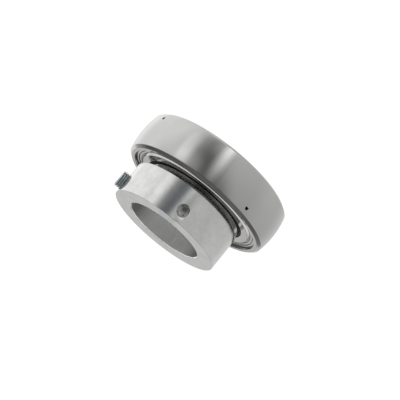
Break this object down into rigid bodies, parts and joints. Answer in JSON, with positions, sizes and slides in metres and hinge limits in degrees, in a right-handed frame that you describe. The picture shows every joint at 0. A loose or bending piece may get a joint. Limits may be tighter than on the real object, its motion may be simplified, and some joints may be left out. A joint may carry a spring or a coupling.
{
  "type": "insert bearing",
  "caption": "Radial insert ball bearing with a spherical outer ring, sealed sides and an eccentric locking collar held on the shaft by a set screw.",
  "frame": {"origin": "centre of the flat back face, on the bearing's axis", "axes": "+Z along the bearing's axis, out through the locking collar; +X towards the set screw side, along the collar's offset at rest"},
  "size_m": [0.072, 0.072, 0.0375],
  "materials": {
    "ring_steel": "fine ground bearing steel",
    "collar_steel": "satin zinc-coated turned steel",
    "seal_steel": "smooth zinc-coated sheet steel",
    "seal_rubber": "matte black nitrile rubber",
    "ball_steel": "polished bearing steel",
    "cage_polymer": "natural glass-fibre reinforced polyamide",
    "screw_steel": "bluish zinc plate"
  },
  "bodies": {
    "outer": {"outer_ring": "ring_steel", "seal_cover_front": "seal_steel", "seal_lip_front": "seal_rubber", "seal_backing_front": "seal_steel", "seal_cover_back": "seal_steel", "seal_lip_back": "seal_rubber", "seal_backing_back": "seal_steel"},
    "inner": {"inner_ring": "ring_steel"},
    "cage": {"cage": "cage_polymer"},
    "collar": {"locking_collar": "collar_steel"},
    "screw": {"set_screw": "screw_steel"},
    "ball_1": {"ball_1": "ball_steel"},
    "ball_2": {"ball_2": "ball_steel"},
    "ball_3": {"ball_3": "ball_steel"},
    "ball_4": {"ball_4": "ball_steel"},
    "ball_5": {"ball_5": "ball_steel"},
    "ball_6": {"ball_6": "ball_steel"},
    "ball_7": {"ball_7": "ball_steel"},
    "ball_8": {"ball_8": "ball_steel"},
    "ball_9": {"ball_9": "ball_steel"}
  },
  "joints": [
    {"name": "inner_spin", "type": "hinge", "parent": "outer", "child": "inner", "pos_m": [0, 0, 0.0095], "axis": [0, 0, 1], "continuous": true},
    {"name": "cage_spin", "type": "hinge", "parent": "outer", "child": "cage", "pos_m": [0, 0, 0.0095], "axis": [0, 0, 1], "continuous": true},
    {"name": "ball_1_spin", "type": "hinge", "parent": "cage", "child": "ball_1", "pos_m": [0.02675, 0, 0.0095], "axis": [0, 0, 1], "continuous": true},
    {"name": "ball_2_spin", "type": "hinge", "parent": "cage", "child": "ball_2", "pos_m": [0.02049, 0.01719, 0.0095], "axis": [0, 0, 1], "continuous": true},
    {"name": "ball_3_spin", "type": "hinge", "parent": "cage", "child": "ball_3", "pos_m": [0.00465, 0.02634, 0.0095], "axis": [0, 0, 1], "continuous": true},
    {"name": "ball_4_spin", "type": "hinge", "parent": "cage", "child": "ball_4", "pos_m": [-0.01337, 0.02317, 0.0095], "axis": [0, 0, 1], "continuous": true},
    {"name": "ball_5_spin", "type": "hinge", "parent": "cage", "child": "ball_5", "pos_m": [-0.02514, 0.00915, 0.0095], "axis": [0, 0, 1], "continuous": true},
    {"name": "ball_6_spin", "type": "hinge", "parent": "cage", "child": "ball_6", "pos_m": [-0.02514, -0.00915, 0.0095], "axis": [0, 0, 1], "continuous": true},
    {"name": "ball_7_spin", "type": "hinge", "parent": "cage", "child": "ball_7", "pos_m": [-0.01337, -0.02317, 0.0095], "axis": [0, 0, 1], "continuous": true},
    {"name": "ball_8_spin", "type": "hinge", "parent": "cage", "child": "ball_8", "pos_m": [0.00465, -0.02634, 0.0095], "axis": [0, 0, 1], "continuous": true},
    {"name": "ball_9_spin", "type": "hinge", "parent": "cage", "child": "ball_9", "pos_m": [0.02049, -0.01719, 0.0095], "axis": [0, 0, 1], "continuous": true},
    {"name": "collar_turn", "type": "hinge", "parent": "inner", "child": "collar", "pos_m": [0.00093, 0, 0.0298], "axis": [0, 0, 1], "continuous": true},
    {"name": "screw_drive", "type": "slide", "parent": "collar", "child": "screw", "axis": [-0.999, 0.0454, 0], "range_m": [-0.00325, 0.00325]}
  ],
  "couplings": [
    {"joint": "cage_spin", "follows": "inner_spin", "ratio": 0.39615},
    {"joint": "ball_1_spin", "follows": "inner_spin", "ratio": -2.3035},
    {"joint": "ball_2_spin", "follows": "inner_spin", "ratio": -2.3035},
    {"joint": "ball_3_spin", "follows": "inner_spin", "ratio": -2.3035},
    {"joint": "ball_4_spin", "follows": "inner_spin", "ratio": -2.3035},
    {"joint": "ball_5_spin", "follows": "inner_spin", "ratio": -2.3035},
    {"joint": "ball_6_spin", "follows": "inner_spin", "ratio": -2.3035},
    {"joint": "ball_7_spin", "follows": "inner_spin", "ratio": -2.3035},
    {"joint": "ball_8_spin", "follows": "inner_spin", "ratio": -2.3035},
    {"joint": "ball_9_spin", "follows": "inner_spin", "ratio": -2.3035}
  ]
}
